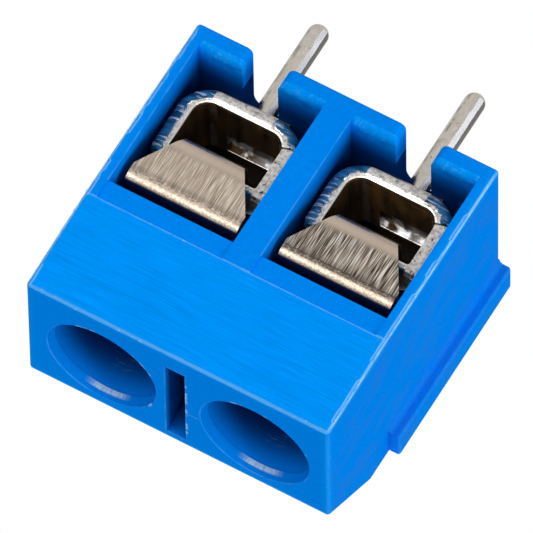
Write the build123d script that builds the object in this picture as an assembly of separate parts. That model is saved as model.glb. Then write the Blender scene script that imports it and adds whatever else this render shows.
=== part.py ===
from build123d import *
import os

# Two-pole screw terminal block for a circuit board, in millimetres.
# Z points from the board to the screws, the wires enter along +Y, and X runs across the poles.
# The origin lies on the board face, midway between the two solder pins.

# Poles
pole_count = 2
pole_pitch = 5.08

# Solder pins
pin_diameter = 0.65
pin_length = 3.15                   # below the board face
pin_shortfall = 0.25                # the pins on the +X side were cut this much shorter
pin_setback = 2.50                  # from the front face to the row of pins
pin_root_swell = 0.015              # the root swells by this much all round
pin_root_drop = 0.10                # how far below the board face the root starts to swell

# Contact strip: a lip and guard in front, a clamping plate, a rear web and a foot that holds the pin
strip_thickness = 0.34
strip_width = 2.00
strip_inner_bend = 0.17
foot_inner_bend = 0.10
guard_setback = 0.40                # from the front face to the guard
guard_shoulder_drop = 0.72          # from the top of the strip to the corners of the guard
guard_neck_rise = 0.20              # from the underside of the plate to the narrow end of the guard
guard_corner_radius = 0.15
lip_bend = 0.22
lip_straight = 0.02                 # the flat end of the lip behind its bend
foot_margin = 0.26                  # from the pin to the end of the foot

# Lifting cage: a strip of thick sheet bent into a tube, with a drawn collar for the screw
cage_width = 3.96
cage_length = 3.70
cage_thickness = 0.52
cage_lower_bend = 1.05              # outside radius
cage_upper_bend = 0.62
cage_roll_over = 0.28               # the rounded outer edge of the sheared rim
cage_top_setback = 0.62             # the top wall stands back from the rim
cage_top_notch = 0.30               # how far the notch reaches down the side walls
cage_seam = 0.07
cage_seam_angle = 20                # degrees above the floor, seen from the middle of the bend
collar_height = 0.50
collar_wall = 0.28
bed_length = 0.90                   # the coined wire bed in the floor of the cage
bed_width = 2.06
bed_depth = 0.14
bed_corner_rise = 0.16              # how far the coining cuts up into the bend beside the bed
bed_setback = 1.50                  # from the rim
wire_height = 1.53                  # clear height for the wire when the cage is down
closed_height = 0.08                # what is left of it when the cage is up

# Screw
screw_diameter = 2.50
head_height = 1.40
head_chamfer = 0.10
driver_slot_width = 0.50
driver_slot_depth = 0.75
driver_cross_width = 0.42
driver_cross_length = 1.95
screw_end_chamfer = 0.25

# Clearances
cage_side_gap = 0.10
cage_floor_gap = 0.04
cage_roof_gap = 0.05
cage_back_gap = 0.08
cage_rim_gap = 0.02                 # between the lip of the strip and the rim of the cage
guard_side_gap = 0.23
strip_back_gap = 0.05
ceiling_gap = 0.33
lip_gap = 0.34
thread_gap = 0.04
screw_tip_gap = 0.03
collar_side_gap = 0.155             # between the collar of a raised cage and the driver well
head_lift_gap = 0.20
head_side_gap = 0.10
board_slot_gap = 0.25               # on each side of the pin's root
groove_gap = 0.06

# Housing
bottom_wall = 0.72
back_wall = 1.38
end_wall = 0.38
band_height = 0.66                  # the front band between the wire entries and the brow
band_recess = 0.05
brow_setback = 0.20
driver_well = 2.29                  # from the top face down to the screw heads
mouth_step = 0.08                   # the mouths of the driver wells are wider by this much all round
mouth_rim = 0.08                    # straight part of the mouth, below the top face
mouth_funnel = 0.24                 # conical part below it, down to the bore
mouth_edge = 0.03                   # chamfer at the top face
back_chamfer_depth = 1.55
back_chamfer_height = 2.35
sill_radius = 0.24                  # rounding of the sills below the wire entries
edge_radius = 0.12
core_slot_width = 0.66              # the moulding slot between the two screws
core_slot_length = 3.72
core_slot_front = 1.00
core_slot_shift = 0.08              # towards +X from the middle between the poles
core_slot_depth = 3.20
tongue_width = 1.00
tongue_height = 6.50
tongue_reach = 0.40
tongue_back_step = 0.22             # from the back face to the tongue
tongue_radius = 0.10
tongue_root_radius = 0.16           # hollow rounding where its front side meets the wall

# Cutters
margin = 1.0                        # how far a cutter reaches past what it cuts
near = 0.01                         # tolerance for picking edges

# Levels and depths that follow from the sizes above
front = -pin_setback
foot_top = bottom_wall + strip_thickness
cage_bottom = foot_top + cage_floor_gap
plate_bottom = cage_bottom + cage_thickness + wire_height
plate_top = plate_bottom + strip_thickness
lift_travel = wire_height - closed_height
cage_top = plate_top + cage_roof_gap + cage_thickness
bay_ceiling = cage_top + lift_travel + ceiling_gap
strip_top = bay_ceiling - lip_gap
screw_tip = plate_top + screw_tip_gap
head_bottom = cage_top + collar_height + lift_travel + head_lift_gap
head_top = head_bottom + head_height
body_height = head_top + driver_well
brow_height = bay_ceiling + band_height

guard_front = front + guard_setback
lip_end = guard_front + strip_thickness + lip_bend + lip_straight
cage_front = lip_end + cage_rim_gap
cage_back = cage_front + cage_length
web_front = cage_back + cage_back_gap
bay_back = web_front + strip_thickness + strip_back_gap
back = bay_back + back_wall
tongue_back = back - tongue_back_step
screw_y = (cage_front + cage_back) / 2
root_radius = pin_diameter / 2 + pin_root_swell
foot_end = -root_radius - foot_margin

bay_width = cage_width + 2 * cage_side_gap
guard_width = bay_width - 2 * guard_side_gap
board_slot_width = 2 * (root_radius + board_slot_gap)
pole_x = [(i - (pole_count - 1) / 2) * pole_pitch for i in range(pole_count)]
body_width = (pole_count - 1) * pole_pitch + bay_width + 2 * end_wall
thread_radius = screw_diameter / 2 + thread_gap
collar_radius = thread_radius + collar_wall
bore_radius = collar_radius + collar_side_gap
head_radius = bore_radius - head_side_gap


def block(x_low, x_high, y_low, y_high, z_low, z_high):
    """A box given by its limits."""
    box = Box(x_high - x_low, y_high - y_low, z_high - z_low, align=(Align.MIN, Align.MIN, Align.MIN))
    return Pos(x_low, y_low, z_low) * box


def rod(radius, x, y, z_low, z_high):
    """An upright cylinder given by its ends."""
    cylinder = Cylinder(radius, z_high - z_low, align=(Align.CENTER, Align.CENTER, Align.MIN))
    return Pos(x, y, z_low) * cylinder


def across(profile, width):
    """Extrude a profile drawn in the YZ plane to both sides of the plane."""
    return extrude(profile, amount=width / 2, both=True)


def housing_shell():
    """The outer form, with its brow leaning back and the upper back corner cut off.

    The brow's crease and the board edges stay sharp here.
    """
    outline = Polyline(
        (front, 0),
        (front, brow_height),
        (front + brow_setback, body_height),
        (back - back_chamfer_depth, body_height),
        (back, body_height - back_chamfer_height),
        (back, 0),
        close=True,
    )
    shell = across(Plane.YZ * make_face(outline), body_width)
    outer_edges = [
        edge
        for edge in shell.edges()
        if edge.center().Z > near
        and not (abs(edge.center().Z - brow_height) < near and abs(edge.center().X) < near)
    ]
    return fillet(outer_edges, edge_radius)


def bay(x):
    """The space that holds one cage, open to the front."""
    half = bay_width / 2
    return block(x - half, x + half, front - margin, bay_back, bottom_wall, bay_ceiling)


def board_slot(x):
    """The slot in the bottom wall through which the pin slides in from the front."""
    half = board_slot_width / 2
    slot = block(x - half, x + half, front - margin, 0, -margin, bottom_wall + margin)
    return slot + rod(half, x, 0, -margin, bottom_wall + margin)


def driver_bore(x):
    """The bore for the screw head and the screwdriver, with a wider mouth that narrows down to it."""
    mouth_radius = bore_radius + mouth_step
    hanging = (Align.CENTER, Align.CENTER, Align.MAX)
    bore = rod(bore_radius, x, screw_y, bay_ceiling - margin, body_height + margin)
    bore += rod(mouth_radius, x, screw_y, body_height - mouth_rim, body_height + margin)
    funnel = Cone(bore_radius, mouth_radius, mouth_funnel, align=hanging)
    edge = Cone(mouth_radius, mouth_radius + mouth_edge, mouth_edge, align=hanging)
    return bore + Pos(x, screw_y, body_height - mouth_rim) * funnel + Pos(x, screw_y, body_height) * edge


def core_slots():
    """The narrow moulding slots in the top face, one between each two poles."""
    half = core_slot_width / 2
    start = front + core_slot_front
    slots = []
    for left, right in zip(pole_x, pole_x[1:]):
        middle = (left + right) / 2 + core_slot_shift
        slots.append(block(middle - half, middle + half, start, start + core_slot_length,
                           body_height - core_slot_depth, body_height + margin))
    return slots


def rib_section(tip, wall, base, front_side, back_side):
    """A rib seen along Z, with a hollow rounding where its front side meets the wall."""
    root_end = front_side - tongue_root_radius - near
    outline = Polyline(
        (tip, front_side),
        (wall, front_side),
        (wall, root_end),
        (base, root_end),
        (base, back_side),
        (tip, back_side),
        close=True,
    )
    section = make_face(outline)
    root = section.vertices().sort_by_distance((wall, front_side))[0]
    return fillet(root, tongue_root_radius)


def side_tongue():
    """The tongue on the -X side, with rounded outer edges and a base inside the wall."""
    wall = -body_width / 2
    section = rib_section(wall - tongue_reach, wall, wall + end_wall / 2,
                          tongue_back - tongue_width, tongue_back)
    tongue = extrude(section, amount=tongue_height)
    outer = tongue.faces().sort_by(Axis.X)[0]
    return fillet(outer.edges(), tongue_radius)


def side_groove():
    """The groove in the +X side that takes the tongue of the next block, with room all round."""
    wall = body_width / 2
    section = rib_section(wall - tongue_reach - groove_gap, wall, wall + margin,
                          tongue_back - tongue_width - groove_gap, tongue_back + groove_gap)
    return Pos(0, 0, -margin) * extrude(section, amount=margin + tongue_height + groove_gap)


def sill_edges(body):
    """The front edges of the sills and of the slots in them."""
    picked = []
    for edge in body.edges().filter_by(GeomType.LINE):
        middle = edge.center()
        if abs(middle.Y - front) > near or middle.Z > bottom_wall + near:
            continue
        is_sill = abs(middle.Z - bottom_wall) < near
        is_slot_side = min(abs(abs(middle.X - x) - board_slot_width / 2) for x in pole_x) < near
        if is_sill or is_slot_side:
            picked.append(edge)
    return picked


def make_housing():
    body = housing_shell()
    for x in pole_x:
        body -= bay(x)
        body -= block(x - bay_width / 2, x + bay_width / 2, front - margin, front + band_recess,
                      bottom_wall, brow_height)
        body -= board_slot(x)
        body -= driver_bore(x)
    for slot in core_slots():
        body -= slot
    body = fillet(sill_edges(body), sill_radius)
    body = fillet([edge for edge in body.edges() if edge.bounding_box().max.Z < near], edge_radius)
    body -= side_groove()
    body += side_tongue()
    return body


def strip_profile():
    """The bent line of the contact strip, seen from the side, thickened to sheet."""
    half = strip_thickness / 2
    guard_y = guard_front + half
    web_y = web_front + half
    plate_z = plate_bottom + half
    foot_z = bottom_wall + half
    top_z = strip_top - half
    bend = strip_inner_bend + half
    foot_bend = foot_inner_bend + half
    lip = lip_bend + half
    line = FilletPolyline(
        (lip_end, top_z),
        (guard_y, top_z),
        (guard_y, plate_z),
        (web_y, plate_z),
        (web_y, foot_z),
        (foot_end, foot_z),
        radius=[lip, bend, bend, foot_bend],
    )
    return Plane.YZ * trace(line, line_width=strip_thickness)


def guard_outline():
    """The guard seen from the front: full width above, tapering to the width of the plate."""
    narrow = strip_width / 2
    wide = guard_width / 2
    neck = plate_bottom + guard_neck_rise
    shoulder = strip_top - guard_shoulder_drop
    outline = Polyline(
        (-narrow, plate_bottom - margin),
        (-narrow, neck),
        (-wide, shoulder),
        (-wide, strip_top + margin),
        (wide, strip_top + margin),
        (wide, shoulder),
        (narrow, neck),
        (narrow, plate_bottom - margin),
        close=True,
    )
    face = make_face(outline)
    corners = [v for v in face.vertices() if abs(v.Y - shoulder) < near]
    return fillet(corners, guard_corner_radius)


def pin_root():
    """The slightly tapered root of a solder pin, up to the top of the foot that holds it."""
    cone = Cone(pin_diameter / 2, root_radius, foot_top + pin_root_drop,
                align=(Align.CENTER, Align.CENTER, Align.MIN))
    return Pos(0, 0, -pin_root_drop) * cone


def make_contact_strip():
    profile = strip_profile()
    cutter = extrude(Plane.XZ.offset(-front) * guard_outline(), amount=-cage_length)
    guard = across(profile, guard_width) & cutter
    strip = across(profile, strip_width) + guard
    return strip - pin_root()


def cage_section(grow=0.0):
    """The section of the cage tube, outside at grow = 0 and inside at minus the wall."""
    width = cage_width + 2 * grow
    height = cage_top - cage_bottom + 2 * grow
    outline = Rectangle(width, height)
    lower = outline.vertices().filter_by_position(Axis.Y, -height, 0)
    outline = fillet(lower, cage_lower_bend + grow)
    upper = outline.vertices().sort_by(Axis.Y)[-2:]
    outline = fillet(upper, cage_upper_bend + grow)
    return Pos(0, (cage_bottom + cage_top) / 2) * outline


def cage_seam_cut():
    """The joint where the two ends of the bent sheet meet, at the lower -X corner."""
    reach = 2 * cage_thickness
    corner_x = -cage_width / 2 + cage_lower_bend
    corner_z = cage_bottom + cage_lower_bend
    middle = cage_lower_bend - cage_thickness / 2
    slit = Pos(-middle, 0, 0) * Box(reach, 2 * cage_length, cage_seam)
    return Pos(corner_x, screw_y, corner_z) * Rot(0, -cage_seam_angle, 0) * slit


def make_lift_cage():
    front_plane = Plane.XZ.offset(-cage_front)
    tube = extrude(front_plane * cage_section(), amount=-cage_length)
    rim = [e for e in tube.edges() if abs(e.center().Y - cage_front) < near]
    tube = fillet(rim, cage_roll_over)
    tube -= extrude(front_plane * cage_section(-cage_thickness), amount=-cage_length)
    tube += rod(collar_radius, 0, screw_y, cage_top - cage_thickness / 2, cage_top + collar_height)
    tube -= rod(thread_radius, 0, screw_y, plate_top, cage_top + collar_height + margin)
    notch_bottom = cage_top - cage_top_notch
    tube -= block(-cage_width, cage_width, cage_front - margin, cage_front + cage_top_setback,
                  notch_bottom, cage_top + margin)
    bed_front = cage_front + bed_setback
    floor = cage_bottom + cage_thickness
    wall_x = -cage_width / 2 + cage_thickness
    tube -= block(wall_x, wall_x + bed_width, bed_front, bed_front + bed_length,
                  floor - bed_depth, floor + bed_corner_rise)
    return tube - cage_seam_cut()


def make_solder_pin(length):
    """A round wire with a domed end and a tapered root, pressed into the foot of its strip."""
    radius = pin_diameter / 2
    wire = rod(radius, 0, 0, -length + radius, -pin_root_drop)
    wire += Pos(0, 0, -length + radius) * Sphere(radius)
    return wire + pin_root()


def make_clamp_screw():
    """A cheese head screw with a slot and a cross in its head."""
    shank = rod(screw_diameter / 2, 0, screw_y, screw_tip, head_bottom + head_chamfer)
    shank = chamfer(shank.edges().sort_by(Axis.Z)[0], screw_end_chamfer)
    head = rod(head_radius, 0, screw_y, head_bottom, head_top)
    head = chamfer(head.edges().filter_by(GeomType.CIRCLE).sort_by(Axis.Z)[-1], head_chamfer)
    slot_floor = head_top - driver_slot_depth
    half_slot, half_cross = driver_slot_width / 2, driver_cross_width / 2
    slot = block(-bore_radius, bore_radius, screw_y - half_slot, screw_y + half_slot,
                 slot_floor, head_top + margin)
    cross = block(-half_cross, half_cross, screw_y - driver_cross_length / 2,
                  screw_y + driver_cross_length / 2, slot_floor, head_top + margin)
    return shank + head - slot - cross


os.makedirs("parts", exist_ok=True)
export_step(make_housing(), "parts/housing.step")
for number, x in enumerate(pole_x, start=1):
    place = Pos(x, 0, 0)
    export_step(place * make_contact_strip(), f"parts/contact_strip_{number}.step")
    export_step(place * make_lift_cage(), f"parts/lift_cage_{number}.step")
    length = pin_length - (pin_shortfall if x > 0 else 0)
    export_step(place * make_solder_pin(length), f"parts/solder_pin_{number}.step")
    export_step(place * make_clamp_screw(), f"parts/clamp_screw_{number}.step")
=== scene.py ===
"""Looks for a screw terminal block: moulded housing, plated strips and cages, screws, pins and the stage."""

import math
from functools import reduce

import bmesh
import bpy
from bpy.props import FloatProperty, FloatVectorProperty, IntProperty, PointerProperty
from mathutils import Matrix, Vector


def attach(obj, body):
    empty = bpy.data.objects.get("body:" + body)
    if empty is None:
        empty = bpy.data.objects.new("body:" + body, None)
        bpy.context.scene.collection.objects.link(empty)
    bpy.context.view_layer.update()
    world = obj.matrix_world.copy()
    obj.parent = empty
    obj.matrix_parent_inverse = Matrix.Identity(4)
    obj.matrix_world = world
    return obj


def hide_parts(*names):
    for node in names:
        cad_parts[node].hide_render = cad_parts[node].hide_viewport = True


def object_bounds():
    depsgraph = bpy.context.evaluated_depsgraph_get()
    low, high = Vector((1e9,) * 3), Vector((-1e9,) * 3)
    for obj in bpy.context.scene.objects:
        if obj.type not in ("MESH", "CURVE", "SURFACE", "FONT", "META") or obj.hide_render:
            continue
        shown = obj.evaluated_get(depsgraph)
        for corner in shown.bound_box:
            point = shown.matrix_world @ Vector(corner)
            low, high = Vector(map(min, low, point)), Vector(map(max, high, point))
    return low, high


bl_info = {
    "name": "Screw Terminal Block Looks",
    "version": (1, 0, 0),
    "blender": (4, 5, 0),
    "location": "View3D > Sidebar > Terminal Block",
    "description": "Dresses a two-pole screw terminal block with lifting cages",
    "category": "Object",
}

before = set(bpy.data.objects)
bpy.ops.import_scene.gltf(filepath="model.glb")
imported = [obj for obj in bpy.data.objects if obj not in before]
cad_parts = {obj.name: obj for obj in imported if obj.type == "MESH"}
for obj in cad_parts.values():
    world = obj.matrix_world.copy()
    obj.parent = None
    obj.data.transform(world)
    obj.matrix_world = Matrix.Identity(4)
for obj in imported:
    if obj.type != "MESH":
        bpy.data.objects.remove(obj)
solid_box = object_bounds()

MM = 0.001

# Places on the block that the patterns follow, in millimetres
POLES = (1, 2)
POLE_OFFSET = 2.54              # from the middle to each pole
FRONT = -2.50
SIDE = 5.00
TOP = 9.90
BROW = 6.50                     # height of the crease below the brow
BROW_LEAN = 0.20 / 3.40         # how much the brow leans back for each millimetre of height
TOP_FRONT, TOP_BACK = -2.30, 2.50
BAY_HALF, BAY_TOP, BAY_BACK, SILL = 2.08, 5.84, 2.67, 0.72
WELL_Y, WELL_RADIUS, MOUTH_RADIUS = 0.35, 1.725, 1.805
CORE_X, CORE_HALF, CORE_FRONT, CORE_BACK = 0.08, 0.33, -1.50, 2.22
TONGUE_X, TONGUE_FRONT, TONGUE_BACK, TONGUE_TOP = -5.40, 2.83, 3.83, 6.50
CAGE_FRONT, CAGE_HALF, CAGE_WALL = -1.50, 1.98, 0.52
CAGE_LOW, CAGE_HIGH = 1.10, 4.06
CAGE_FLOOR = CAGE_LOW + CAGE_WALL
GUARD_FRONT = -2.10
SCREW_TIP, HEAD_BOTTOM, HEAD_TOP = 3.52, 6.21, 7.61
PIN_RADIUS = 0.325

# Colours of small marks, of painted highlights, reflections and shade, and of the stage
WELL_SHINE = (0.62, 0.84, 1.0)
WELL_DEEP_STREAK = (0.08, 0.22, 0.34)
SCRATCH = (0.95, 0.92, 0.88)
LIP_SHADE = (0.012, 0.022, 0.06)
CHIP = (0.95, 0.97, 1.0)
EDGE_MARK = (0.70, 0.80, 0.92)
RIM_HIGHLIGHT = (1.0, 0.96, 0.90)
BROWN_REFLECTION = (0.50, 0.26, 0.08)
INNER_SHEEN = (0.34, 0.29, 0.22)
CAGE_BACK_SHADE = (0.004, 0.004, 0.004)
WARM_RIM_REFLECTION = (0.36, 0.20, 0.07)
BED_REFLECTION_DARK = (0.11, 0.070, 0.036)
BED_REFLECTION_BRIGHT = (0.95, 0.96, 1.0)
PIN_HIGHLIGHT = (0.97, 0.97, 0.98)
PIN_LINE = (0.05, 0.055, 0.08)
PIN_SPECK_AND_REFLECTION = (0.14, 0.11, 0.08)
FLOOR_PAINT = (0.86, 0.86, 0.86)
WHITE = (1, 1, 1)

# Ends, joints and edges of the modelled screws and lines, in millimetres
THREAD_MARGIN, SHANK_CHAMFER, SHANK_FILLET, JOINT, SPLIT = 0.20, 0.15, 0.12, 0.02, 0.004
THREAD_DEPTH = 1.3              # how far the core lies below the crest, in ridge radii
SHARP_ANGLE = math.radians(32)
LINE_INSET, LINE_END, CREASE_RISE, LINE_LOW, LINE_HIGH = 0.035, 0.1, 0.012, 0.35, TOP - 0.20

# The camera that was fitted to the photograph, and the stage, in millimetres
FOCAL_LENGTH, SENSOR_WIDTH = 1350.84, 36.0
CAMERA_PLACE = (-147.203, -499.413, 250.868)
CAMERA_AXES = (                 # right, up and back
    (-0.86615811, 0.00909449, -0.49968732), (0.42947989, -0.49774992, -0.75351977),
    (-0.2555722, -0.86727291, 0.42722423))
LAMP_TARGET = Vector((0, 0, 4))
FLOOR_HALF = 3.0                # in metres


# Sizes and colours that a user may change

COLOUR = {"subtype": "COLOR", "size": 3, "min": 0, "max": 1}


class HousingLook(bpy.types.PropertyGroup):
    """Colour and surface of the moulded housing."""
    colour: FloatVectorProperty(
        name="Plastic colour", description="Body colour of the moulded plastic", default=(0.0, 0.250, 0.920),
        **COLOUR)
    brow_colour: FloatVectorProperty(
        name="Brow colour", description="Colour of the drawn, streaked plastic of the brow",
        default=(0.0, 0.305, 1.0), **COLOUR)
    # painted shade that darkens the wells, slots and wire bays to navy
    painted_recess_shade: FloatVectorProperty(
        name="Recess colour", description="Colour of the unworn plastic inside wells, slots and wire bays",
        default=(0.0, 0.016, 0.12), **COLOUR)
    # pale lines that are partly mould lines and partly painted highlights along rounded edges and sills
    mould_line_and_highlight_colour: FloatVectorProperty(
        name="Edge colour", description="Paler colour of scuffed edges and mould lines",
        default=(0.10, 0.43, 0.96), **COLOUR)
    fleck_colour: FloatVectorProperty(
        name="Fleck colour", description="Colour of the small torn flecks along moulded edges",
        default=(0.30, 0.62, 1.0), **COLOUR)
    # painted highlight along the rounded outer edges and the sills' rounded inner edges
    edge_highlight_colour: FloatVectorProperty(
        name="Rounding colour", description="Colour of the thin plastic along the outer edges",
        default=(0.0, 0.33, 1.0), **COLOUR)
    mottle_colour: FloatVectorProperty(
        name="Mottle colour", description="Second colour of the mottled side walls",
        default=(0.020, 0.21, 0.76), **COLOUR)
    roughness: FloatProperty(
        name="Roughness", description="Roughness of the moulded faces", min=0, max=1, default=0.42)
    grain_depth: FloatProperty(
        name="Grain depth", description="Depth of the fine moulded grain", min=0, default=0.006 * MM,
        unit="LENGTH", precision=6)
    line_width: FloatProperty(
        name="Mould line width", description="Width of the raised lines that the mould left along edges",
        min=0, default=0.045 * MM, unit="LENGTH", precision=6)
    line_wander: FloatProperty(
        name="Mould line wander", description="How far the raised lines stray from the edge", min=0,
        default=0.050 * MM, unit="LENGTH", precision=6)


class MetalLook(bpy.types.PropertyGroup):
    """Colours of the plated metal pieces."""
    strip_colour: FloatVectorProperty(
        name="Strip colour", description="Colour of the rolled and plated contact strips",
        default=(0.60, 0.49, 0.395), **COLOUR)
    # painted highlight on the upper bend of the contact strips
    bend_highlight_colour: FloatVectorProperty(
        name="Bend colour", description="Colour of the burnished upper bend of the contact strips",
        default=(0.44, 0.365, 0.285), **COLOUR)
    cage_colour: FloatVectorProperty(
        name="Cage colour", description="Colour of the plated outside of the lifting cages",
        default=(0.80, 0.78, 0.74), **COLOUR)
    # painted blue reflection of the housing on the cages' rolled edges
    rolled_edge_reflection_colour: FloatVectorProperty(
        name="Passivated edge colour", description="Blue tint of the plating on the cages' rolled edges",
        default=(0.030, 0.21, 0.40), **COLOUR)
    # dark brown inside of the cages: tarnish, darkened further as painted shade
    cage_inside: FloatVectorProperty(
        name="Cage inside colour", description="Colour of the tarnished inside of the lifting cages",
        default=(0.085, 0.052, 0.024), **COLOUR)
    shear_colour: FloatVectorProperty(
        name="Sheared edge colour", description="Colour of the torn, rough part of a sheared edge",
        default=(0.86, 0.80, 0.70), **COLOUR)
    pin_colour: FloatVectorProperty(
        name="Pin colour", description="Colour of the tinned solder pins", default=(0.78, 0.72, 0.64),
        **COLOUR)
    screw_colour: FloatVectorProperty(
        name="Screw colour", description="Colour of the zinc plated screws", default=(0.62, 0.60, 0.56),
        **COLOUR)


class ScrewShape(bpy.types.PropertyGroup):
    """Sizes of the clamping screws' threads."""
    thread_pitch: FloatProperty(
        name="Thread pitch", description="Rise of the thread for each turn", min=0.1 * MM, default=0.45 * MM,
        unit="LENGTH", precision=6)
    thread_radius: FloatProperty(
        name="Thread radius", description="Outer radius of the thread", min=0.1 * MM, default=1.25 * MM,
        unit="LENGTH", precision=6)
    ridge_radius: FloatProperty(
        name="Ridge radius", description="Radius of the rounded ridge that forms the thread", min=0.01 * MM,
        default=0.15 * MM, unit="LENGTH", precision=6)
    steps: IntProperty(
        name="Steps a turn", description="Straight steps in each turn of the thread", min=8, default=40)


class StageLook(bpy.types.PropertyGroup):
    """Lamps, floor and background."""
    key_power: FloatProperty(
        name="Key lamp", description="Power of the large lamp in front", min=0, default=1.95, unit="POWER")
    top_power: FloatProperty(
        name="Top lamp", description="Power of the lamp above and behind", min=0, default=1.15, unit="POWER")
    side_power: FloatProperty(
        name="Side lamp", description="Power of the lamp beside the block", min=0, default=1.65, unit="POWER")
    fill: FloatProperty(
        name="Fill light", description="Strength of the even light from all round", min=0, default=0.10)
    floor_sheen: FloatProperty(
        name="Floor in reflections", description="Brightness of the floor where metal reflects it", min=0,
        max=1, default=0.62)


# Node building

class Tree:
    """Adds nodes to a node tree; a value may be a number, a tuple or another node's socket."""

    def __init__(self, tree):
        self.tree = tree

    def node(self, kind, values=(), **settings):
        made = self.tree.nodes.new(kind)
        for name, value in settings.items():
            setattr(made, name, value)
        for key, value in dict(values).items():
            put(made.inputs[key], value)
        return made

    def place(self):
        """Object coordinates in millimetres."""
        return vector("SCALE", self.node("ShaderNodeTexCoord").outputs["Object"], scale=1 / MM)

    def use(self, group, **values):
        """An instance of a node group; underscores in the given names stand for spaces."""
        values = {key.replace("_", " "): value for key, value in values.items()}
        return self.node("ShaderNodeGroup", values, node_tree=group).outputs


def put(socket, value):
    """Link a socket to another one or set its value; a colour may lack its alpha."""
    if isinstance(value, bpy.types.NodeSocket):
        socket.id_data.links.new(value, socket)
    elif value is not None:
        is_short = socket.type == "RGBA" and len(value) == 3
        socket.default_value = (*value, 1.0) if is_short else value


def beside(*values):
    """The tree that holds the first socket among some values."""
    return Tree(next(value.id_data for value in values if isinstance(value, bpy.types.NodeSocket)))


def calc(operation, *values):
    return beside(*values).node("ShaderNodeMath", enumerate(values), operation=operation).outputs[0]


def add(a, b):
    return calc("ADD", a, b)


def minus(a, b):
    return calc("SUBTRACT", a, b)


def scaled(value, factor, offset):
    """A value times a factor, plus an offset."""
    return calc("MULTIPLY_ADD", value, factor, offset)


def size(value):
    return calc("ABSOLUTE", value)


def inverse(mask):
    return minus(1.0, mask)


def chain(operation, values):
    """Join values by one operation, from the first to the last."""
    return reduce(lambda a, b: calc(operation, a, b), values)


def times(*values):
    return chain("MULTIPLY", values)


def least(*values):
    return chain("MINIMUM", values)


def most(*values):
    return chain("MAXIMUM", values)


def joined(a, b, c=0.0):
    return beside(a, b, c).node("ShaderNodeCombineXYZ", enumerate((a, b, c))).outputs[0]


def vector(operation, a, b=None, scale=None):
    made = beside(a, b, scale).node("ShaderNodeVectorMath", {0: a, 1: b, 3: scale}, operation=operation)
    return made.outputs[0]


def away(a, b, c=0.0):
    """Length of an offset with up to three parts."""
    offset = joined(a, b, c)
    return beside(offset).node("ShaderNodeVectorMath", {0: offset}, operation="LENGTH").outputs["Value"]


def ramp(value, low, high, out_low=0.0, out_high=1.0):
    """Smooth step of a value from low to high."""
    given = zip(("Value", "From Min", "From Max", "To Min", "To Max"), (value, low, high, out_low, out_high))
    return beside(value).node("ShaderNodeMapRange", given, interpolation_type="SMOOTHSTEP").outputs[0]


def within(value, low, high, soft=0.02):
    """1 between two values, with soft ends."""
    return times(ramp(value, low - soft, low), ramp(value, high + soft, high))


def blend(factor, a, b):
    return beside(factor, a, b).node("ShaderNodeMix", {0: factor, 6: a, 7: b}, data_type="RGBA").outputs[2]


def axes(place):
    return beside(place).node("ShaderNodeSeparateXYZ", {"Vector": place}).outputs


def noise(place, cells, detail):
    """Noise with a number of cells for each millimetre along the three axes."""
    given = {"Vector": vector("MULTIPLY", place, cells), "Scale": 1.0, "Detail": detail}
    return beside(place).node("ShaderNodeTexNoise", given).outputs["Fac"]


def patchy(place, cells, detail, *limits):
    """Smooth patches where a noise passes from one limit to the next."""
    return ramp(noise(place, cells, detail), *limits)


def toned(colour, factor):
    """A colour made lighter or darker."""
    return tuple(part * factor for part in colour)


def shader_group(name, inputs, outputs):
    """A shader node group with named sockets; returns its tree and the sockets at its two ends."""
    group = bpy.data.node_groups.new(name, "ShaderNodeTree")
    for socket_name, kind, value in inputs:
        group.interface.new_socket(socket_name, in_out="INPUT", socket_type=kind).default_value = value
    for socket_name, kind in outputs:
        group.interface.new_socket(socket_name, in_out="OUTPUT", socket_type=kind)
    return Tree(group), group.nodes.new("NodeGroupInput").outputs, group.nodes.new("NodeGroupOutput").inputs


def fine_grain():
    """Grain, brush marks and streaks: noise stretched along the axes, as a value and as a tinted colour."""
    name = "Fine Grain"
    if name not in bpy.data.node_groups:
        tree, given, out = shader_group(
            name,
            [
                ("Colour", "NodeSocketColor", (0.5, 0.5, 0.5, 1)), ("Cells", "NodeSocketVector", (6, 6, 6)),
                ("Detail", "NodeSocketFloat", 3.0), ("Contrast", "NodeSocketFloat", 0.2)],
            [("Colour", "NodeSocketColor"), ("Value", "NodeSocketFloat")])
        value = noise(tree.place(), given["Cells"], given["Detail"])
        spread = times(minus(value, 0.5), given["Contrast"])
        factor = scaled(spread, 2.0, 1.0)
        put(out["Colour"], vector("SCALE", given["Colour"], scale=factor))
        put(out["Value"], value)
    return bpy.data.node_groups[name]


def grained(tree, colour, cells, detail, contrast):
    return tree.use(fine_grain(), Colour=colour, Cells=cells, Detail=detail, Contrast=contrast)


def ragged_line():
    """A thin uneven line where a distance is near zero: scuffs, mould lines and torn edges."""
    name = "Ragged Line"
    if name not in bpy.data.node_groups:
        tree, given, out = shader_group(
            name,
            [
                ("Distance", "NodeSocketFloat", 0.0), ("Half Width", "NodeSocketFloat", 0.03),
                ("Raggedness", "NodeSocketFloat", 0.03), ("Cells", "NodeSocketFloat", 4.0),
                ("Gaps", "NodeSocketFloat", 0.4)],
            [("Mask", "NodeSocketFloat"), ("Flecks", "NodeSocketFloat")])
        place = tree.place()
        cells = joined(given["Cells"], given["Cells"], given["Cells"])
        wander = minus(noise(place, cells, 3.0), 0.5)
        shifted = scaled(wander, given["Raggedness"], given["Distance"])
        mask = ramp(size(shifted), given["Half Width"], 0.0)
        low = minus(given["Gaps"], 0.12)
        whole = patchy(place, (1.3, 1.3, 1.3), 2.0, low, given["Gaps"], 0.25)
        specks = patchy(place, (7, 7, 7), 2.0, 0.64, 0.70)
        put(out["Mask"], times(mask, whole))
        put(out["Flecks"], times(mask, specks))
    return bpy.data.node_groups[name]


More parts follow.
